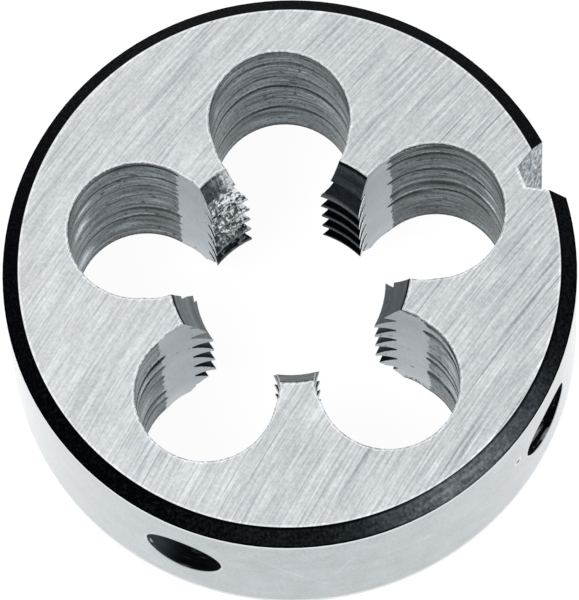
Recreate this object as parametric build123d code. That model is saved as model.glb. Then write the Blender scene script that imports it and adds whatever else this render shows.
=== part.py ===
"""Round threading die, closed and pre-slotted, for a coarse M18 x 2.5 right-hand thread.

One ground disc of high-speed steel.  The bottom face lies on Z = 0, the thread axis is Z,
and the clearance hole opposite the front lies on +Y.
"""

from build123d import *
import os
from math import ceil, cos, radians, sin, sqrt, tan

# ---- Disc ----
outer_diameter = 45.0
thickness = 18.0
edge_chamfer_radial = 1.2
edge_chamfer_axial = 1.4

# ---- Thread ----
thread_diameter = 18.0
pitch = 2.5
thread_angle = 60.0
thread_height = 0.4         # of the groove's middle, where a turn crosses the +Y hole

# ---- Lead-in cone at each face ----
lead_mouth_growth = 0.5     # mouth radius less the nominal thread radius
lead_length = 4.05          # from the face to where the full thread begins

# ---- Lands and clearance holes ----
land_count = 5
rim_wall = 4.75             # steel left between a clearance hole and the rim
break_in = 0.82             # how far a clearance hole reaches inside the crest radius

# ---- Ground rake beside each land ----
rake_depth = 0.43           # the grinding pin bites this far past the drilled wall
rake_direction = 28.0       # degrees from the inward radius, to each side
rake_pin_clearance = 0.9    # the pin's radius less than the hole's

# ---- Slitting notch in the rim, in line with one clearance hole ----
notch_hole = 4              # counted from the hole on +Y, against the clock
notch_web = 1.85            # steel left between the notch and that hole
notch_floor_width = 1.8
notch_angle = 60.0          # included

# ---- Conical seats for the stock's screws, in pairs about the notch ----
seat_angles = (48.0, 134.0)  # degrees to each side of the notch
seat_mouth_diameter = 6.4
seat_floor_diameter = 1.2
seat_cone_angle = 90.0       # included

# ---- What follows from the sizes above ----
outer_radius = outer_diameter / 2
crest_radius = (thread_diameter - 1.2268 * pitch) / 2
root_radius = thread_diameter / 2
lead_mouth_radius = thread_diameter / 2 + lead_mouth_growth
hole_reach = outer_radius - rim_wall
hole_radius = (hole_reach - crest_radius + break_in) / 2
hole_distance = hole_reach - hole_radius
hole_step = 360 / land_count
first_hole = 90.0
notch_direction = first_hole + notch_hole * hole_step
cut_margin = 1.0            # how far each cutter stands past the steel it cuts


def disc_blank():
    """The turned disc, with a chamfer at each edge of the rim and the core drilled out."""
    with BuildPart() as blank:
        with BuildSketch(Plane.XZ):
            with BuildLine():
                Polyline(
                    (crest_radius, 0),
                    (outer_radius - edge_chamfer_radial, 0),
                    (outer_radius, edge_chamfer_axial),
                    (outer_radius, thickness - edge_chamfer_axial),
                    (outer_radius - edge_chamfer_radial, thickness),
                    (crest_radius, thickness),
                    close=True,
                )
            make_face()
        revolve(axis=Axis.Z)
    return blank.part


def lead_cone():
    """The conical mouth cut at the bottom face; the top one is its mirror image."""
    slope = (lead_mouth_radius - crest_radius) / lead_length
    with BuildPart() as cone:
        with BuildSketch(Plane.XZ):
            with BuildLine():
                Polyline(
                    (0, -cut_margin),
                    (lead_mouth_radius + cut_margin * slope, -cut_margin),
                    (0, lead_mouth_radius / slope),
                    close=True,
                )
            make_face()
        revolve(axis=Axis.Z)
    return cone.part


def clearance_cutter():
    """One clearance hole on +X: the drilled hole and the two passes of the grinding pin."""
    pin_radius = hole_radius - rake_pin_clearance
    pin_shift = rake_depth + rake_pin_clearance
    pin_x = hole_distance - pin_shift * cos(radians(rake_direction))
    pin_y = pin_shift * sin(radians(rake_direction))
    with BuildPart() as cutter:
        with BuildSketch(Plane.XY.offset(-cut_margin)):
            with Locations((hole_distance, 0)):
                Circle(hole_radius)
            with Locations((pin_x, pin_y), (pin_x, -pin_y)):
                Circle(pin_radius)
        extrude(amount=thickness + 2 * cut_margin)
    return cutter.part


def thread_turn():
    """One turn of the thread groove, right hand, whose ends lie in the open +Y hole."""
    flank = tan(radians(thread_angle / 2))
    inner_radius = crest_radius - 0.04 * pitch
    root_half = pitch / 16
    mouth_half = root_half + (root_radius - inner_radius) * flank
    path = Helix(pitch, pitch, root_radius)
    groove = make_face(
        Plane.XZ
        * Polyline(
            (inner_radius, -mouth_half),
            (root_radius, -root_half),
            (root_radius, root_half),
            (inner_radius, mouth_half),
            close=True,
        )
    )
    return Rot(0, 0, first_hole) * sweep(groove, path=path, is_frenet=True)


def notch_cutter():
    """The trapezoid notch on +X, open through both faces."""
    slope = tan(radians(notch_angle / 2))
    floor = hole_reach + notch_web
    mouth = outer_radius + cut_margin
    floor_half = notch_floor_width / 2
    mouth_half = floor_half + (mouth - floor) * slope
    with BuildPart() as cutter:
        with BuildSketch(Plane.XY.offset(-cut_margin)):
            Polygon(
                (floor, -floor_half),
                (mouth, -mouth_half),
                (mouth, mouth_half),
                (floor, floor_half),
                align=None,
            )
        extrude(amount=thickness + 2 * cut_margin)
    return cutter.part


def seat_cutter():
    """One conical seat on +X at mid thickness, its mouth measured on the rim."""
    slope = tan(radians(seat_cone_angle / 2))
    mouth_radius = seat_mouth_diameter / 2
    floor_radius = seat_floor_diameter / 2
    mouth_x = sqrt(outer_radius**2 - mouth_radius**2)
    depth = (mouth_radius - floor_radius) / slope
    with BuildPart() as cutter:
        with BuildSketch(Plane.XZ):
            with BuildLine():
                Polyline(
                    (mouth_x - depth, 0),
                    (mouth_x - depth, floor_radius),
                    (mouth_x + cut_margin, mouth_radius + cut_margin * slope),
                    (mouth_x + cut_margin, 0),
                    close=True,
                )
            make_face()
        revolve(axis=Axis.X)
    return Pos(0, 0, thickness / 2) * cutter.part


def build_die():
    die = disc_blank()
    cone = lead_cone()
    die -= cone
    die -= Pos(0, 0, thickness) * Rot(180, 0, 0) * cone
    hole = clearance_cutter()
    die -= [Rot(0, 0, first_hole + k * hole_step) * hole for k in range(land_count)]
    die -= Rot(0, 0, notch_direction) * notch_cutter()
    seat = seat_cutter()
    for angle in seat_angles:
        die -= Rot(0, 0, notch_direction + angle) * seat
        die -= Rot(0, 0, notch_direction - angle) * seat
    turn = thread_turn()
    turn_count = ceil(thickness / pitch) + 2
    for k in range(turn_count):
        die -= Pos(0, 0, thread_height + (k - 2) * pitch) * turn
    return die


os.makedirs("parts", exist_ok=True)
die_body = build_die()
export_step(die_body, "parts/die_body.step")
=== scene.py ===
from math import cos, pi, radians, sin, tan

import bpy
from mathutils import Matrix, Vector

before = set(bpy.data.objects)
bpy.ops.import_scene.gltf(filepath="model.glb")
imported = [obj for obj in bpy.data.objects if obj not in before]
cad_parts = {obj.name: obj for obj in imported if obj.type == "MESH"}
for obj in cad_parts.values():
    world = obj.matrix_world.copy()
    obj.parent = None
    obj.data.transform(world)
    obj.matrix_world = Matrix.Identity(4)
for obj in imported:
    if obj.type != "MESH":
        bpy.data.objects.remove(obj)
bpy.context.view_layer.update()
print("frame loaded:", ", ".join(sorted(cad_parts)))

# The die's own sizes, in millimetres and degrees, so that each finish stops at its edge.
die = {
    "outerRadius": 22.5,
    "thickness": 18.0,
    "chamferRadial": 1.2,
    "chamferAxial": 1.4,
    "crestRadius": 7.4665,
    "mouthRadius": 9.5,         # of the lead-in cone, where it meets the face
    "coneSlope": 0.502,         # radius lost per millimetre of depth
    "pitch": 2.5,
    "crestHeight": 9.156,       # of one crest where it crosses the +Y direction
    "firstHole": 90.0,          # direction of hole 0, and the others follow against the clock
    "firstLand": 54.0,          # and of land 0
    "holeDistance": 12.198,
    "holeRadius": 5.552,
    "pinX": 11.024,             # the pin that grinds the rakes: its centre, along and beside
    "pinY": 0.624,              # the hole's own direction, and its radius
    "pinRadius": 4.652,
    "notchDirection": 18.0,
    "notchFloor": 19.6,
    "notchHalf": 0.9,
    "notchSlope": 30.0,
    "seatAngles": (48.0, 134.0),   # from the notch, to both sides
    "seatRadius": 3.2,
}


# A socket that can be used in sums: every operator adds one Math node.
class Wire:
    def __init__(self, tree, socket=None):
        self.tree = tree
        self.socket = socket

    # any other node: its settings go in first, then the values or links of its sockets
    def node(self, nodeType, settings, inputs, output=0):
        made = self.tree.nodes.new(nodeType)
        for name, value in settings.items():
            if name == "stops":
                fillRamp(made.color_ramp, value)
            else:
                setattr(made, name, value)
        for key, value in inputs.items():
            if isinstance(value, Wire):
                self.tree.links.new(value.socket, made.inputs[key])
            else:
                made.inputs[key].default_value = value
        return Wire(self.tree, made.outputs[output] if len(made.outputs) else None)

    # another output of the same node
    def output(self, key):
        return Wire(self.tree, self.socket.node.outputs[key])

    def math(self, operation, *others):
        values = dict(enumerate((self, *others)))
        return self.node("ShaderNodeMath", {"operation": operation}, values)

    def __add__(self, other):
        return self.math("ADD", other)

    __radd__ = __add__

    def __sub__(self, other):
        return self.math("SUBTRACT", other)

    def __rsub__(self, other):
        return self.node("ShaderNodeMath", {"operation": "SUBTRACT"}, {0: other, 1: self})

    def __mul__(self, other):
        return self.math("MULTIPLY", other)

    __rmul__ = __mul__

    def __truediv__(self, other):
        return self.math("DIVIDE", other)

    def __abs__(self):
        return self.math("ABSOLUTE")

    def smaller(self, other):
        return self.math("MINIMUM", other)

    def larger(self, other):
        return self.math("MAXIMUM", other)

    # 0 at start, 1 at finish, which may be the smaller of the two
    def rise(self, start, finish):
        settings = {"interpolation_type": "SMOOTHSTEP", "clamp": True}
        return self.node("ShaderNodeMapRange", settings, {0: self, 1: start, 2: finish, 3: 0.0, 4: 1.0})

    # 1 where the value is this whole number
    def chosen(self, number):
        return self.math("COMPARE", float(number), 0.5)

    # itself where the mask is 0, the other where it is 1
    def toward(self, other, mask):
        return self.node("ShaderNodeMix", {"data_type": "FLOAT"}, {0: mask, 2: self, 3: other})

    def combine(self, other, third=0.0):
        return self.node("ShaderNodeCombineXYZ", {}, {0: self, 1: other, 2: third})

    # a vector wire gives noise from 0 to 1, finer as stretch grows, in cells per millimetre
    def noise(self, stretch, detail=2.0, roughness=0.55):
        spread = self.node("ShaderNodeVectorMath", {"operation": "MULTIPLY"}, {0: self, 1: stretch})
        values = {"Vector": spread, "Scale": 1.0, "Detail": detail, "Roughness": roughness}
        return self.node("ShaderNodeTexNoise", {"noise_dimensions": "3D"}, values)

    # the same noise, from -0.5 to 0.5
    def sway(self, *texture):
        return self.noise(*texture) - 0.5


def fillRamp(ramp, stops):
    ramp.interpolation = "LINEAR"
    ramp.elements[0].position = stops[0][0]
    ramp.elements[1].position = stops[-1][0]
    for place, _ in stops[1:-1]:
        ramp.elements.new(place)
    for element, (_, color) in zip(ramp.elements, stops):
        element.color = (*color, 1.0)


def linear(level):
    level = max(level, 0.0)
    return level / 12.92 if level <= 0.04045 else ((level + 0.055) / 1.055) ** 2.4


def length(a, b):
    return (a * a + b * b).math("SQRT")


# the sum of the values, each where its own mask is 1
def pick(masks, values):
    total = 0.0
    for mask, value in zip(masks, values):
        total = total + mask * value
    return total


# The holes and the lands repeat every fifth of a turn: the angle from the nearest, and its number.
def nearestFifth(azimuth, first):
    fifth = 2 * pi / 5
    turned = azimuth - radians(first)
    fromMiddle = turned.math("WRAP", fifth / 2, -fifth / 2)
    return fromMiddle, (turned / fifth).math("ROUND").math("FLOORED_MODULO", 5.0)


# Noise that several finishes share: cells per millimetre along X, Y and Z, detail, roughness.
sharedTextures = {
    "grit": ((4.0, 4.0, 2.2), 2.0, 0.6),
    "cloud": ((0.4, 0.4, 0.4), 1.0),
    "lay": ((0.12, 0.12, 1.1), 2.0, 0.7),      # level lines round walls and rim
}


# Where a point of the die lies, in millimetres and radians.
def findPlaces(start):
    spot = start.node("ShaderNodeTexCoord", {}, {}, "Object")
    spot = start.node("ShaderNodeVectorMath", {"operation": "SCALE"}, {0: spot, "Scale": 1000.0})
    x = start.node("ShaderNodeSeparateXYZ", {}, {0: spot})
    y, z = x.output(1), x.output(2)
    azimuth = y.math("ARCTAN2", x)
    r = length(x, y)
    depth = die["thickness"] / 2 - abs(z - die["thickness"] / 2)      # below the nearer face
    place = {"spot": spot, "x": x, "y": y, "z": z, "r": r, "azimuth": azimuth, "depth": depth}
    place["grit"] = spot.noise(*sharedTextures["grit"])
    place["cloud"] = spot.noise(*sharedTextures["cloud"])
    place["lay"] = spot.sway(*sharedTextures["lay"])
    place["ragged"] = place["grit"] + 0.5       # divides a width, so that its edge is uneven
    place.update(findHoles(place))
    place.update(findNotchAndSeats(place))
    place.update(findThread(place))
    return place


def findHoles(place):
    fromHole, holeNumber = nearestFifth(place["azimuth"], die["firstHole"])
    outward = place["r"] * fromHole.math("COSINE")
    sideways = place["r"] * fromHole.math("SINE")
    aside = abs(sideways)
    drillGap = length(outward - die["holeDistance"], aside) - die["holeRadius"]
    pinGap = length(outward - die["pinX"], aside - die["pinY"]) - die["pinRadius"]
    signedRound = sideways.math("ARCTAN2", outward - die["holeDistance"])
    return {
        "holeNumber": holeNumber,
        "pinGap": pinGap,
        "holeGap": drillGap.smaller(pinGap),      # into the steel from the nearer wall
        "signedRound": signedRound,
        "roundHole": abs(signedRound),            # 0 at the rim side, pi at the thread
    }


def findNotchAndSeats(place):
    direction = radians(die["notchDirection"])
    x, y = place["x"], place["y"]
    along = x * cos(direction) + y * sin(direction)
    across = abs(y * cos(direction) - x * sin(direction))
    slope = tan(radians(die["notchSlope"]))
    turned = (place["azimuth"] - direction).math("WRAP", pi, -pi)
    gaps = []
    for angle in die["seatAngles"]:
        sideways = (abs(turned) - radians(angle)) * die["outerRadius"]
        gaps.append(length(sideways, place["z"] - die["thickness"] / 2) - die["seatRadius"])
    return {
        "notchGap": across - die["notchHalf"] - (along - die["notchFloor"]) * slope,
        "notchAlong": along,
        "seatGap": gaps[0].smaller(gaps[1]),
    }


def findThread(place):
    fromLand, landNumber = nearestFifth(place["azimuth"], die["firstLand"])
    turns = (place["azimuth"] - pi / 2).math("WRAP", 2 * pi, 0.0) / (2 * pi)
    climb = (place["z"] - die["crestHeight"]) / die["pitch"] - turns
    cone = place["r"] - (die["mouthRadius"] - place["depth"] * die["coneSlope"])
    return {
        "fromLand": fromLand,
        "landNumber": landNumber,
        "phase": climb - climb.math("ROUND"),       # 0 on a crest, 0.5 in a root
        "alongThread": turns * 2 * pi * die["crestRadius"],
        "coneGap": abs(cone),
    }


# Where each zone of the die begins: the value that gives 0, and the one that gives 1.
zoneEdges = {
    "belowFace": (0.004, 0.012),
    "chamferSlant": (0.97, 0.985),
    "chamferRadius": (21.25, 21.3),
    "notchGap": (0.05, 0.02),
    "notchAlong": (19.4, 19.5),
    "rimRadius": (22.44, 22.46),
    "seatRadius": (18.1, 18.3),
    "wallGap": (0.04, 0.02),
    "threadRadius": (9.56, 9.53),
}


def findZones(place, edges):
    r, depth = place["r"], place["depth"]
    notFace = depth.rise(*edges["belowFace"])
    slant = (r - (die["outerRadius"] - die["chamferRadial"])) / die["chamferRadial"]
    slant = slant + (die["chamferAxial"] - depth) / die["chamferAxial"]
    chamfer = slant.rise(*edges["chamferSlant"]) * r.rise(*edges["chamferRadius"]) * notFace
    notch = place["notchGap"].rise(*edges["notchGap"]) * place["notchAlong"].rise(*edges["notchAlong"])
    notch = notch * notFace * (1 - chamfer)
    rim = r.rise(*edges["rimRadius"]) * (1 - chamfer) * (1 - notch)
    seat = r.rise(*edges["seatRadius"]) * (1 - rim) * (1 - notch) * (1 - chamfer) * notFace
    wall = place["holeGap"].rise(*edges["wallGap"]) * notFace * (1 - seat) * (1 - rim) * (1 - notch)
    thread = r.rise(*edges["threadRadius"]) * notFace * (1 - wall)
    return {
        "face": 1 - notFace,
        "chamfer": chamfer,
        "notch": notch,
        "rim": rim,
        "seat": seat,
        "wall": wall,
        "thread": thread,
    }


# In each finish below, a tone is a grey level from 0 to 1, a range is the value that gives 0 and
# the one that gives 1, and a texture is its cells per millimetre, detail and roughness.

# Surface-ground faces: the stone's grain, a painted highlight and a burr along the edges, and painted shade
# towards +X.
faceFinish = {
    "tone": 0.778,
    "shadeTowardsX": 0.0007,              # painted shade: the tone lost per millimetre towards +X
    "grainDirection": 50.2,      # degrees from +X
    "grainCurve": 0.00666,       # radians turned per millimetre along the grain
    "grainSpread": 0.00154,      # and per millimetre across it
    "grainUp": 3.0,              # so that the two faces get different grain
    "grainGrowth": 0.014,             # how much stronger the grain's marks grow per millimetre towards +X
    "fineTexture": ((5.8, 0.20, 1.0), 2.0, 0.65),
    "fineGrain": 0.26,
    "broadTexture": ((0.5, 0.03, 1.0), 1.0),
    "broadGrain": 0.06,
    "scratchTexture": ((4.4, 0.07, 1.7), 1.0),
    "darkScratch": 0.10,
    "darkRange": (0.60, 0.72),
    "lightScratch": 0.055,
    "lightRange": (0.38, 0.27),
    "grit": 0.20,
    "pit": 0.10,
    "pitRange": (0.70, 0.78),
    "edgeHighlight": 0.10,            # of the painted highlight along an edge
    "mouthLine": (0.22, 0.14),   # in millimetres from the holes and the thread
    "edgeLine": (0.26, 0.18),    # and from the chamfer and the notch
    "burrTone": 0.60,
    "burrLine": (0.13, 0.05),
    "burrRange": (0.42, 0.62),
    "burrLeast": 0.2,
    "borderTone": 0.06,          # black that creeps over the edge of the chamfer
    "borderLine": (0.085, 0.055),
    "roughness": 0.36,
    "roughnessSway": 0.5,
    "relief": 0.006,
}


def finishFace(place, setup):
    angle = radians(setup["grainDirection"])
    x, y, grit = place["x"], place["y"], place["grit"]
    along = x * cos(angle) + y * sin(angle)
    across = y * cos(angle) - x * sin(angle)
    across = across + along * along * (setup["grainCurve"] / 2) + along * across * setup["grainSpread"]
    grain = across.combine(along, place["z"] * setup["grainUp"])
    fine = grain.sway(*setup["fineTexture"])
    broad = grain.sway(*setup["broadTexture"])
    marks = grain.noise(*setup["scratchTexture"])
    dark = marks.rise(*setup["darkRange"]) * setup["darkScratch"]
    light = marks.rise(*setup["lightRange"]) * setup["lightScratch"]
    grainSwell = x * setup["grainGrowth"] + 1.0
    # painted shade: the face darkens towards +X
    tone = setup["tone"] + broad * setup["broadGrain"] - x * setup["shadeTowardsX"]
    tone = tone + (fine * setup["fineGrain"] - dark + light) * grainSwell
    tone = tone + (grit - 0.5) * setup["grit"] - grit.rise(*setup["pitRange"]) * setup["pit"]
    mouth = place["holeGap"].smaller(place["r"] - die["mouthRadius"]) / place["ragged"]
    notch = place["notchGap"].larger(die["notchFloor"] - place["notchAlong"])
    border = die["outerRadius"] - die["chamferRadial"] - place["r"]
    edge = border.smaller(notch) / place["ragged"]
    # painted highlight: a bright line along the mouths, the chamfer and the notch
    bright = mouth.rise(*setup["mouthLine"]).larger(edge.rise(*setup["edgeLine"]))
    tone = tone + bright * setup["edgeHighlight"]
    burr = grit.rise(*setup["burrRange"]) * (1 - setup["burrLeast"]) + setup["burrLeast"]
    tone = tone.toward(setup["burrTone"], mouth.rise(*setup["burrLine"]) * burr)
    tone = tone.toward(setup["borderTone"], border.rise(*setup["borderLine"]))
    rough = setup["roughness"] + fine * setup["roughnessSway"]
    return {"tone": tone, "rough": rough, "relief": fine * setup["relief"]}


# Satin rim: level lay lines, painted highlights along its edges and round each screw seat, and the hardness
# tester's mark.
rimFinish = {
    "tone": 0.56,
    "lay": 0.20,
    "cloud": 0.20,
    "grit": 0.24,
    "edgeWidth": 0.55,
    "edgeHighlightTone": 0.84,
    "ringWidth": 0.20,           # of the painted highlight round each screw seat
    "seatHighlightTone": 0.72,
    # light handling scratches: azimuth and height of both ends, in degrees and millimetres
    "scratches": ((-102.0, 13.8, -87.0, 6.0), (-81.0, 12.0, -85.0, 8.0)),
    "scratchHalf": 0.12,
    "scratchLift": 0.05,
    "dot": (-41.4, 10.45, 0.25),  # the tester's mark: azimuth, height, half width
    "dotTall": 0.6,               # its width over its height
    "dotCore": 0.6,               # of its half width
    "haloReach": (2.2, 1.3),      # in half widths
    "haloTone": 0.80,
    "roughness": 0.32,
    "roughnessSway": 0.2,
    "relief": 0.004,
}


def scratchMask(around, z, ends, half, radius):
    start = Vector((radians(ends[0]) * radius, ends[1]))
    run = Vector((radians(ends[2]) * radius, ends[3])) - start
    fromStart = around - start.x
    above = z - start.y
    share = (fromStart * run.x + above * run.y) / run.length_squared
    share = share.smaller(1.0).larger(0.0)
    gap = length(fromStart - share * run.x, above - share * run.y)
    return gap.rise(half * 2, half * 0.5)


def finishRim(place, setup):
    z, lay = place["z"], place["lay"]
    around = place["azimuth"] * die["outerRadius"]
    tone = setup["tone"] + lay * setup["lay"] + (place["cloud"] - 0.5) * setup["cloud"]
    tone = tone + (place["grit"] - 0.5) * setup["grit"]
    for ends in setup["scratches"]:
        scratch = scratchMask(around, z, ends, setup["scratchHalf"], die["outerRadius"])
        tone = tone + scratch * setup["scratchLift"]
    # painted highlight: a bright band along each edge of the rim
    edge = place["depth"] - die["chamferAxial"]
    tone = tone.toward(setup["edgeHighlightTone"], edge.rise(setup["edgeWidth"], setup["edgeWidth"] / 2))
    # painted highlight: a bright ring round each screw seat
    ring = place["seatGap"].rise(setup["ringWidth"], setup["ringWidth"] / 2)
    tone = tone.toward(setup["seatHighlightTone"], ring)
    azimuth, height, radius = setup["dot"]
    dotGap = length(around - radians(azimuth) * die["outerRadius"], (z - height) * setup["dotTall"])
    pit = dotGap.rise(radius, radius * setup["dotCore"])
    halo = dotGap.rise(*(radius * reach for reach in setup["haloReach"]))
    tone = tone.toward(setup["haloTone"], halo).toward(0.0, pit)
    rough = setup["roughness"] + lay * setup["roughnessSway"]
    return {"tone": tone, "rough": rough, "relief": lay * setup["relief"], "pit": pit}


# Blackened chamfers, with painted sheen at the back and the front, and a painted reflection of a lamp at
# the front right. An arc is the directions over which it comes in, then goes out, in degrees.
chamferFinish = {
    "tone": 0.0,
    "speckle": 0.30,
    "backSheen": 0.045,
    "backArc": ((-100.0, -30.0), (170.0, 122.0)),
    "frontSheen": 0.078,
    "frontArc": ((-136.0, -90.0), (-10.0, -40.0)),
    "sheenTone": 0.40,          # painted reflection of a lamp, grained along the chamfer
    "sheenArc": ((-89.0, -55.0), (-18.0, -54.0)),
    "sheenAbove": (8.0, 10.0),
    "sheenSpeckle": 0.40,
    "sheenAround": 12.0,        # millimetres of the texture in a radian
    "sheenTexture": ((4.0, 1.0, 1.0), 2.0),
    "sheenLay": 0.45,
    "borderTone": 0.0,
    "borderRange": (0.36, 0.47),  # from the middle of the chamfer, in its widths
    "borderUnderSheen": 0.7,
    "roughness": 0.6,
    "relief": 0.01,
}


def arcMask(azimuth, comesIn, goesOut):
    begins = azimuth.rise(*(radians(angle) for angle in comesIn))
    return begins * azimuth.rise(*(radians(angle) for angle in goesOut))


def finishChamfer(place, setup):
    azimuth = place["azimuth"]
    speckle = place["grit"] - 0.5
    lay = place["r"].combine(azimuth * setup["sheenAround"]).sway(*setup["sheenTexture"])
    # painted sheen: the black chamfer lighter towards the back and the front
    back = arcMask(azimuth, *setup["backArc"])
    tone = setup["tone"] + back * setup["backSheen"] + speckle * setup["speckle"]
    tone = tone + arcMask(azimuth, *setup["frontArc"]) * setup["frontSheen"]
    # painted reflection of a lamp at the front right, with speckle and grain in it
    chamferSheen = arcMask(azimuth, *setup["sheenArc"]) * place["z"].rise(*setup["sheenAbove"])
    sheenLevel = setup["sheenTone"] + speckle * setup["sheenSpeckle"] + lay * setup["sheenLay"]
    tone = tone.toward(sheenLevel, chamferSheen)
    across = (place["r"] - (die["outerRadius"] - die["chamferRadial"])) / die["chamferRadial"]
    border = abs(across - 0.5).rise(*setup["borderRange"])
    tone = tone.toward(setup["borderTone"], border * (1 - chamferSheen * setup["borderUnderSheen"]))
    return {"tone": tone, "rough": setup["roughness"], "relief": speckle * setup["relief"]}


# Blackened screw seats, with some of the drill's turned arcs bright, and a painted sheen on the left-front
# seat.
seatFinish = {
    "tone": 0.02,
    "around": 3.0,                  # millimetres of the texture in a radian
    "texture": ((2.6, 1.0, 2.0), 2.0, 0.7),
    "turned": 0.10,
    "arcTone": 0.45,
    "arcRange": (0.03, 0.14),
    "arcClouds": (0.42, 0.55),
    "sheenLift": 0.22,
    "sheenFrom": (-116.0, -124.0),   # degrees
    "speckTone": 0.40,
    "speckRange": (0.62, 0.76),
    "speckSide": (10.0, 14.0),      # along +X, in millimetres
    "roughness": 0.6,
    "relief": 0.01,
}


def finishSeat(place, setup):
    azimuth, cloud = place["azimuth"], place["cloud"]
    turned = place["seatGap"].combine(azimuth * setup["around"], cloud).sway(*setup["texture"])
    # painted sheen: the left-front seat lighter towards its left
    seatSheen = azimuth.rise(*(radians(angle) for angle in setup["sheenFrom"]))
    specks = place["grit"].rise(*setup["speckRange"]) * place["x"].rise(*setup["speckSide"])
    arcs = turned.rise(*setup["arcRange"]) * cloud.rise(*setup["arcClouds"])
    tone = setup["tone"] + turned * setup["turned"] + arcs * setup["arcTone"]
    tone = tone + seatSheen * setup["sheenLift"] + specks * setup["speckTone"]
    return {"tone": tone, "rough": setup["roughness"], "relief": turned * setup["relief"]}


# Clearance holes: drilled walls with score rings and painted highlights, and the ground rake beside the
# thread.
holeFinish = {
    "tones": (0.44, 0.43, 0.51, 0.54, 0.39),     # drilled wall, from hole 0 against the clock: partly the wall's own tone, partly painted light
    "rakeMouths": (0.2, 0.1, 0.0, 0.9, 0.1),     # how dark the rake's top edge is in each
    "ringStrength": 0.80,
    "ringClouds": (2.2, -0.1),   # slope and start of the rings' strength over the clouds
    "lineStrength": 0.75,
    "fineStrength": 0.70,
    "fineTexture": ((0.35, 0.35, 3.0), 1.0),
    "gritStrength": 0.60,
    "gritPit": 0.20,
    "gritPitRange": (0.62, 0.70),
    "pitTexture": ((1.9, 1.9, 1.9), 0.0),
    "pit": 0.35,
    "pitRange": (0.72, 0.77),
    "wobbleTexture": ((0.20, 0.20, 0.05), 1.0),
    "wobble": 1.3,               # millimetres that a ring wanders up and down
    "tremble": 0.30,
    "rakeTone": 0.685,
    "rakeCloud": 0.08,
    "rakeGrit": 0.10,
    "rakeSpeck": 0.3,
    "rakeSpeckRange": (0.81, 0.84),
    # painted light: the rake lighter towards the mouth of the hole
    "rakeMouthLight": 0.05,
    "rakeMouthDepth": (4.0, 0.5),
    "rakeStart": 106.5,          # degrees round the hole from its rim side
    "rakeRagged": 9.0,
    "rakeTexture": ((0.15, 0.15, 1.6), 2.0, 0.6),
    "rakeRings": 10.0,           # degrees that a ring reaches past the start
    "rakeSoft": 0.6,
    "mouthTone": 0.04,
    "mouthShare": 0.85,
    "mouthLine": (0.70, 0.40),
    "mouthRagged": (4.0, -1.3, 0.25),   # slope, start and least of what divides its depth
    "rakeRoughness": 0.38,
    "rakeRoughnessSway": 0.1,
    "drilledRoughness": 0.25,
    "drilledRoughnessSway": 0.3,
    "ringRelief": 0.06,
    "lineRelief": 0.05,
    "reliefFrom": (109.0, 108.0),
    "scaleShare": 0.5,           # how black the drilled wall is, and how much more in a ring
    "scaleInRings": 0.9,
    # height, half width and darkness of each score ring
    "rings": (
        ((17.2, 0.22, 0.16), (15.45, 0.22, 0.20), (12.0, 0.20, 0.16), (9.7, 0.24, 0.36), (4.6, 0.24, 0.26)),
        ((17.4, 0.20, 0.26), (14.7, 0.22, 0.20), (12.3, 0.22, 0.16), (7.0, 0.25, 0.15), (5.1, 0.20, 0.15)),
        ((13.2, 0.38, 0.42), (10.9, 0.32, 0.34), (8.8, 0.30, 0.20), (4.7, 0.30, 0.24), (2.9, 0.30, 0.22)),
        ((17.2, 0.36, 0.42), (15.3, 0.40, 0.45), (10.1, 0.32, 0.40), (8.6, 0.32, 0.38), (5.0, 0.55, 0.38)),
        ((17.1, 0.28, 0.22), (15.6, 0.22, 0.27), (11.8, 0.24, 0.34), (8.3, 0.40, 0.28), (6.4, 0.28, 0.34)),
    ),
    # across a ring: place in half widths, and darkness as a share of the ring's own
    "ringProfile": ((-1.7, 0.0), (-0.6, 1.0), (0.5, 1.0), (1.6, -0.45), (2.7, 0.0)),
    # painted highlights, made streaky, where the walls catch the light: hole, degrees round it, height,
    # both half sizes in mm, strength
    "sheenPatches": (
        (1, -20.0, 13.4, 1.7, 0.5, 0.42),
        (1, -14.0, 10.2, 1.6, 1.3, 0.55),
        (1, -13.0, 2.6, 1.8, 1.4, 0.55),
        (4, 12.0, 11.3, 1.5, 0.5, 0.46),
        (4, 14.0, 8.9, 1.7, 0.5, 0.46),
        (4, 10.0, 6.4, 1.6, 0.4, 0.40),
        (4, 19.0, 13.8, 1.4, 0.5, 0.28),
        (1, -15.0, 7.0, 1.4, 0.6, 0.30),
        (2, -80.0, 12.0, 1.5, 1.0, 0.26),
        (2, -78.0, 6.8, 1.5, 1.3, 0.30),
        (3, 77.0, 12.6, 1.4, 1.0, 0.30),
        (3, 74.0, 6.9, 1.4, 1.0, 0.30),
        (0, -66.0, 11.0, 0.9, 0.5, 0.32),
        (0, 63.0, 13.0, 0.8, 1.2, 0.24),
    ),
    "patchRange": (1.1, 0.2),
    "patchLines": 1.2,
    "patchGrit": 1.5,
    # one slanting score: hole, then degrees and height of both ends
    "slant": (1, -108.0, 11.0, -30.0, 8.9),
    "slantHalf": 0.11,
    "slantDark": 0.20,
}


def ringStops(rings, profile):
    stops = [(0.0, (0.5, 0.5, 0.5))]
    for height, half, darkness in sorted(rings):
        for shift, share in profile:
            place = (height + shift * half) / die["thickness"]
            level = 0.5 - darkness * share
            if stops[-1][0] < place < 1.0:
                stops.append((place, (level, level, level)))
    stops.append((1.0, (0.5, 0.5, 0.5)))
    return stops


# The score rings of every hole: above 0 where they are bright, below where they are dark.
def findRings(place, setup, here):
    wobble = place["spot"].sway(*setup["wobbleTexture"]) * setup["wobble"]
    tremble = (place["grit"] - 0.5) * setup["tremble"]
    height = (place["z"] + wobble + tremble) / die["thickness"]
    levels = []
    for rings in setup["rings"]:
        stops = {"stops": ringStops(rings, setup["ringProfile"])}
        levels.append(height.node("ShaderNodeValToRGB", stops, {"Fac": height}) - 0.5)
    slope, start = setup["ringClouds"]
    return pick(here, levels) * (place["cloud"] * slope + start)


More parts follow.
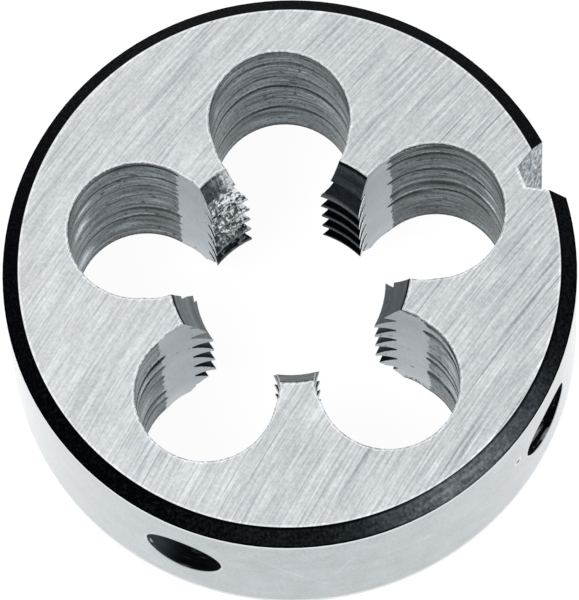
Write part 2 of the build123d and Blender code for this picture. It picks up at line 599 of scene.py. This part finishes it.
def findDrilledTone(place, setup, here, rings, pits):
    spot, grit, lay, z = place["spot"], place["grit"], place["lay"], place["z"]
    # each hole's tone is partly painted light
    tone = pick(here, setup["tones"]) + rings * setup["ringStrength"] + lay * setup["lineStrength"]
    tone = tone + spot.sway(*setup["fineTexture"]) * setup["fineStrength"]
    tone = tone + (grit - 0.5) * setup["gritStrength"]
    tone = tone - grit.rise(*setup["gritPitRange"]) * setup["gritPit"]
    tone = tone - pits.rise(*setup["pitRange"]) * setup["pit"]
    around = place["signedRound"] * die["holeRadius"]
    # painted highlights on the walls, streaky with the lay lines and grit
    for hole, angle, middle, halfAround, halfHeight, strength in setup["sheenPatches"]:
        gap = length((around - radians(angle) * die["holeRadius"]) / halfAround, (z - middle) / halfHeight)
        gap = gap + lay * setup["patchLines"] + (grit - 0.5) * setup["patchGrit"]
        tone = tone + gap.rise(*setup["patchRange"]) * here[hole] * strength
    hole, *ends = setup["slant"]
    slant = scratchMask(around, z, ends, setup["slantHalf"], die["holeRadius"]) * here[hole]
    return tone - slant * setup["slantDark"]


def finishWall(place, setup):
    spot, grit, lay, depth = place["spot"], place["grit"], place["lay"], place["depth"]
    here = [place["holeNumber"].chosen(k) for k in range(5)]
    rings = findRings(place, setup, here)
    pits = spot.noise(*setup["pitTexture"])
    drilledTone = findDrilledTone(place, setup, here, rings, pits)

    limit = spot.sway(*setup["rakeTexture"]) * radians(setup["rakeRagged"])
    limit = radians(setup["rakeStart"]) + limit - rings * radians(setup["rakeRings"])
    soft = radians(setup["rakeSoft"])
    drilled = (place["roundHole"] - limit).rise(soft, -soft)
    rakeTone = setup["rakeTone"] + (place["cloud"] - 0.5) * setup["rakeCloud"]
    rakeTone = rakeTone + (grit - 0.5) * setup["rakeGrit"]
    rakeTone = rakeTone - pits.rise(*setup["rakeSpeckRange"]) * setup["rakeSpeck"]
    # painted light towards the mouth of the hole
    rakeTone = rakeTone + depth.rise(*setup["rakeMouthDepth"]) * setup["rakeMouthLight"]

    slope, start, least = setup["mouthRagged"]
    mouth = (depth / (grit * slope + start).larger(least)).rise(*setup["mouthLine"])
    mouth = mouth * drilled.larger(pick(here, setup["rakeMouths"]))
    tone = rakeTone.toward(drilledTone, drilled).toward(setup["mouthTone"], mouth * setup["mouthShare"])
    rakeRough = setup["rakeRoughness"] + lay * setup["rakeRoughnessSway"]
    drilledRough = setup["drilledRoughness"] + lay * setup["drilledRoughnessSway"]
    relief = rings * setup["ringRelief"] + lay * setup["lineRelief"]
    relief = relief * place["roundHole"].rise(*(radians(angle) for angle in setup["reliefFrom"]))
    return {
        "tone": tone,
        "rough": rakeRough.toward(drilledRough, drilled),
        "relief": relief,
        "scaleShare": drilled * (setup["scaleShare"] - rings * setup["scaleInRings"]),
    }


# Thread and lead-in cones: turned lines on the cones, and black, cut through on one land; the lands' tones
# are partly painted light and shade.
threadFinish = {
    # a tone for each of the five lands, from land 0 against the clock: partly the land's own, partly
    # painted light by how the light falls on it
    "coneTones": (0.21, 0.31, 0.58, 0.58, 0.37),
    "flankTones": (0.11, 0.44, 0.58, 0.50, 0.36),     # of the first tooth from each face
    "deepTones": (0.0, 0.38, 0.56, 0.30, 0.45),       # of the teeth below it
    "rootShades": (0.08, 0.22, 0.20, 0.12, 0.20),      # painted shade of a flank in the roots beside the rake
    "crestTones": (0.36, 0.50, 0.62, 0.50, 0.50),
    "conePlay": (0.05, 0.03),
    "firstAbove": (11.6, 12.8),  # heights of the first teeth
    "firstBelow": (3.6, 2.6),
    # painted shade: the teeth below darken towards the bottom of the bore
    "deepShade": (2.5, 7.0),
    "rootReach": (0.1, 0.8),
    "crestHalf": (0.11, 0.072),  # of the crest's flat, in turns of the pitch
    "crestRadii": (7.62, 7.52),
    "textureUp": 0.4,            # so that each turn gets its own marks
    "chatterTexture": ((2.8, 6.0, 1.5), 2.0, 0.7),
    "chatter": 0.16,
    "dashTexture": ((3.8, 1.0, 1.5), 2.0, 0.7),
    "turnedLines": 0.30,
    # the land whose black has been cut through to bright, torn steel
    "brightLand": 1,
    "brightTone": 1.0,
    "brightShare": 0.9,
    "brightChatter": 0.40,
    "tornAside": -0.14,          # per millimetre towards +X along the land
    "tornUp": 0.035,             # per millimetre above the middle
    "tornChatter": 4.2,
    "tornDashes": 1.6,
    "tornRange": (-0.15, 0.50),
    "tornAbove": (1.0, 9.0),
    "tornBelow": (17.5, 13.5),
    "tornBelowShare": (-0.6, 1.0),
    "coneChatter": 2.0,
    "coneDashes": 4.0,
    "coneRange": (0.5, -1.4),
    "coneAbove": (15.6, 15.9),
    "mouthTone": 0.02,
    "mouthShare": 0.85,
    "mouthBright": 0.8,
    "mouthLine": (0.42, 0.20),
    "roughness": 0.45,
    "roughnessSway": 0.2,
    "relief": 0.02,
}


# Where the black of one land is cut through: torn teeth, and a cleaner cut on its cone.
def findCut(place, setup, chatter, dashes):
    z = place["z"]
    side = place["fromLand"] * die["crestRadius"]
    torn = side * setup["tornAside"] + (z - die["thickness"] / 2) * setup["tornUp"]
    torn = torn + chatter * setup["tornChatter"] + dashes * setup["tornDashes"]
    below = z.rise(*setup["tornBelow"]).rise(*setup["tornBelowShare"])
    torn = torn.rise(*setup["tornRange"]) * z.rise(*setup["tornAbove"]) * below
    onCone = side + dashes * setup["coneDashes"] + chatter * setup["coneChatter"]
    return torn.toward(onCone.rise(*setup["coneRange"]), z.rise(*setup["coneAbove"]))


def finishThread(place, setup):
    z, phase = place["z"], place["phase"]
    here = [place["landNumber"].chosen(k) for k in range(5)]
    bright = here[setup["brightLand"]]
    onCone = place["coneGap"].rise(*setup["conePlay"])
    firstTeeth = z.rise(*setup["firstAbove"]).larger(z.rise(*setup["firstBelow"]))
    # painted shade deeper in the bore
    deep = pick(here, setup["deepTones"]) * z.rise(*setup["deepShade"])
    flank = deep.toward(pick(here, setup["flankTones"]), firstTeeth)
    clear = place["pinGap"].rise(*setup["rootReach"]).larger(firstTeeth)
    # painted shade in the roots beside the rake
    flank = pick(here, setup["rootShades"]).smaller(flank).toward(flank, clear)
    # each land's cone tone is partly painted light
    tone = flank.toward(pick(here, setup["coneTones"]), onCone)
    crest = abs(phase).rise(*setup["crestHalf"]) * place["r"].rise(*setup["crestRadii"])
    tone = tone.toward(pick(here, setup["crestTones"]), crest)
    thread = place["alongThread"].combine(phase * die["pitch"], z * setup["textureUp"])
    chatter = thread.sway(*setup["chatterTexture"])
    dashes = thread.sway(*setup["dashTexture"])
    tone = tone + chatter * (setup["chatter"] + bright * setup["brightChatter"])
    tone = tone + place["lay"] * (1 - bright) * setup["turnedLines"] * onCone
    cut = findCut(place, setup, chatter, dashes) * bright * setup["brightShare"]
    tone = tone.toward(setup["brightTone"], cut)
    mouth = (place["depth"] / place["ragged"]).rise(*setup["mouthLine"])
    mouth = mouth * (1 - bright * setup["mouthBright"])
    tone = tone.toward(setup["mouthTone"], mouth * setup["mouthShare"])
    rough = setup["roughness"] + chatter * setup["roughnessSway"]
    return {"tone": tone, "rough": rough, "relief": chatter * setup["relief"]}


# Slitting notch: the wheel ran along the die's axis, and left streaks that way.
notchFinish = {
    "tone": 0.64,
    "streaks": 1.15,
    "texture": ((2.8, 2.8, 0.8), 2.0, 0.65),
    "speckle": 0.9,
    "mouthTone": 0.20,
    "mouthShare": 0.8,
    "mouthLine": (0.40, 0.15),
    "roughness": 0.55,
    "relief": 0.06,
}


def finishNotch(place, setup):
    streaks = place["spot"].sway(*setup["texture"])
    tone = setup["tone"] + streaks * setup["streaks"] + (place["grit"] - 0.5) * setup["speckle"]
    mouth = (place["depth"] / place["ragged"]).rise(*setup["mouthLine"])
    tone = tone.toward(setup["mouthTone"], mouth * setup["mouthShare"])
    return {"tone": tone, "rough": setup["roughness"], "relief": streaks * setup["relief"]}


# The die's one material: metal and black scale, in cool steel greys.
steelLook = {
    "rampStops": 26,
    "lessRed": 0.015,
    "moreBlue": 0.0105,
    "middleTones": (0.15, 0.74),       # which are a little cooler
    "middleCooler": 1.5,
    "wallTint": (0.90, 1.0, 1.04, 1.0),   # of the drilled walls, which reflect white at a slant
    "metalTint": (0.97, 0.992, 1.0, 1.0),
    "coatTint": (0.95, 0.985, 1.0, 1.0),  # the rim's sheen
    "coatRoughness": 0.1,
    "coatIor": 1.6,
    "scaleRoughness": 0.6,
    "scaleShine": 0.01,
    "threadScale": 0.85,
    "reliefUnit": 0.001,               # a relief is in millimetres
}


def steelStops(setup):
    low, high = setup["middleTones"]
    stops = []
    for step in range(setup["rampStops"]):
        level = step / (setup["rampStops"] - 1)
        cooler = setup["middleCooler"] if low < level < high else 1.0
        red = linear(level - setup["lessRed"] * cooler)
        blue = linear(level + setup["moreBlue"] * cooler)
        stops.append((level, (red, linear(level), blue)))
    return stops


def newTree(owner):
    owner.use_nodes = True
    owner.node_tree.nodes.clear()
    return Wire(owner.node_tree)


def makeDieSteel(setup):
    material = bpy.data.materials.new("dieSteel")
    start = newTree(material)
    place = findPlaces(start)
    zone = findZones(place, zoneEdges)
    wall = finishWall(place, holeFinish)
    laidOver = {
        "thread": finishThread(place, threadFinish),
        "seat": finishSeat(place, seatFinish),
        "notch": finishNotch(place, notchFinish),
        "rim": finishRim(place, rimFinish),
        "chamfer": finishChamfer(place, chamferFinish),
        "face": finishFace(place, faceFinish),
    }
    tone, rough = wall["tone"], wall["rough"]
    relief = wall["relief"] * zone["wall"]
    for name, finish in laidOver.items():
        tone = tone.toward(finish["tone"], zone[name])
        rough = rough.toward(finish["rough"], zone[name])
        relief = relief + finish["relief"] * zone[name]
    wallScale = zone["wall"] * wall["scaleShare"]
    scaled = zone["chamfer"] + zone["seat"] + zone["thread"] * setup["threadScale"] + wallScale

    color = start.node("ShaderNodeValToRGB", {"stops": steelStops(setup)}, {"Fac": tone})
    multiply = {"data_type": "RGBA", "blend_type": "MULTIPLY"}
    color = start.node("ShaderNodeMix", multiply, {0: wallScale, 6: color, 7: setup["wallTint"]}, 2)
    bump = {"Strength": 1.0, "Distance": setup["reliefUnit"], "Height": relief}
    normal = start.node("ShaderNodeBump", {}, bump)
    metal = start.node("ShaderNodeBsdfPrincipled", {}, {
        "Base Color": color,
        "Metallic": 1.0,
        "Roughness": rough,
        "Normal": normal,
        "Specular Tint": setup["metalTint"],
        "Coat Weight": zone["rim"] * (1 - laidOver["rim"]["pit"]),
        "Coat Roughness": setup["coatRoughness"],
        "Coat IOR": setup["coatIor"],
        "Coat Tint": setup["coatTint"],
    })
    scale = start.node("ShaderNodeBsdfPrincipled", {}, {
        "Base Color": color,
        "Metallic": 0.0,
        "Roughness": setup["scaleRoughness"],
        "Specular IOR Level": setup["scaleShine"],
        "Normal": normal,
    })
    mixed = start.node("ShaderNodeMixShader", {}, {0: scaled, 1: metal, 2: scale})
    start.node("ShaderNodeOutputMaterial", {}, {"Surface": mixed})
    return material


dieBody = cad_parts["die_body"]
dieBody.material_slots[0].material = makeDieSteel(steelLook)
print("die steel:", len(dieBody.material_slots[0].material.node_tree.nodes), "nodes")


# Floor and surroundings, in metres. What the camera and the steel see of them is near white.
stage = {
    "floorSize": 4.0,
    "floorHeight": -0.00002,
    "floorTone": 0.80,
    "shownLight": 0.94,          # of the floor's own light, as the camera and the steel see it
    "shownTone": 0.14,
    "worldShown": 1.0,
    "worldLight": 0.55,
}


def seenDirectly(start):
    seen = start.node("ShaderNodeLightPath", {}, {}, "Is Camera Ray")
    return seen.larger(seen.output("Is Glossy Ray")).larger(seen.output("Is Transmission Ray"))


def makeFloor(setup):
    bpy.ops.object.select_all(action="DESELECT")
    bpy.ops.mesh.primitive_plane_add(size=setup["floorSize"], location=(0, 0, setup["floorHeight"]))
    floor = bpy.context.object
    floor.name = "floor"
    material = bpy.data.materials.new("paleFloor")
    start = newTree(material)
    tone, shown = setup["floorTone"], setup["shownTone"]
    plain = start.node("ShaderNodeBsdfDiffuse", {}, {"Color": (tone, tone, tone, 1.0)})
    shadow = start.node("ShaderNodeBsdfDiffuse", {}, {"Color": (shown, shown, shown, 1.0)})
    glow = start.node("ShaderNodeEmission", {}, {"Strength": setup["shownLight"]})
    lit = start.node("ShaderNodeAddShader", {}, {0: shadow, 1: glow})
    mixed = start.node("ShaderNodeMixShader", {}, {0: seenDirectly(start), 1: plain, 2: lit})
    start.node("ShaderNodeOutputMaterial", {}, {"Surface": mixed})
    floor.data.materials.append(material)


def makeWorld(setup):
    world = bpy.data.worlds.new("studio")
    start = newTree(world)
    strength = seenDirectly(start) * (setup["worldShown"] - setup["worldLight"]) + setup["worldLight"]
    sky = start.node("ShaderNodeBackground", {}, {"Color": (1.0, 1.0, 1.0, 1.0), "Strength": strength})
    start.node("ShaderNodeOutputWorld", {}, {"Surface": sky})
    bpy.context.scene.world = world


# Each soft box: its place, side and power, in metres and watts, turned to the die.
softBoxes = {
    "keyLight": {"place": (-0.45, -0.25, 0.75), "size": 0.6, "power": 5.0},
    "fillLight": {"place": (0.60, -0.50, 0.45), "size": 0.6, "power": 2.0},
}


def makeLights(boxes):
    target = Vector((0, 0, 0.01))
    for name, box in boxes.items():
        lamp = bpy.data.lights.new(name, "AREA")
        lamp.size = box["size"]
        lamp.energy = box["power"]
        holder = bpy.data.objects.new(name, lamp)
        bpy.context.scene.collection.objects.link(holder)
        holder.location = box["place"]
        holder.rotation_euler = (target - holder.location).to_track_quat("-Z", "Y").to_euler()


# The camera looks down at the target: metres and degrees, lens and sensor in millimetres.
cameraSetup = {
    "target": (-0.000166, 0.000084, 0.009),
    "elevation": 72.472,
    "turn": 0.256,
    "roll": -4.083,
    "distance": 0.74932,
    "nearest": 0.01,
    "lens": 568.83,
    "sensor": 36.0,
}


def makeCamera(setup):
    camera = bpy.data.cameras.new("camera")
    camera.sensor_width = setup["sensor"]
    camera.lens = setup["lens"]
    camera.clip_start = setup["nearest"]
    holder = bpy.data.objects.new("camera", camera)
    bpy.context.scene.collection.objects.link(holder)
    aim = Matrix.Rotation(radians(setup["turn"]), 4, "Z")
    aim = aim @ Matrix.Rotation(radians(90.0 - setup["elevation"]), 4, "X")
    back = aim @ Vector((0, 0, setup["distance"]))
    aim = aim @ Matrix.Rotation(radians(setup["roll"]), 4, "Z")
    holder.matrix_world = Matrix.Translation(Vector(setup["target"]) + back) @ aim
    bpy.context.scene.camera = holder


makeFloor(stage)
makeWorld(stage)
makeLights(softBoxes)
makeCamera(cameraSetup)
bpy.context.scene.view_settings.view_transform = "Standard"
print("floor, lights and camera are set")
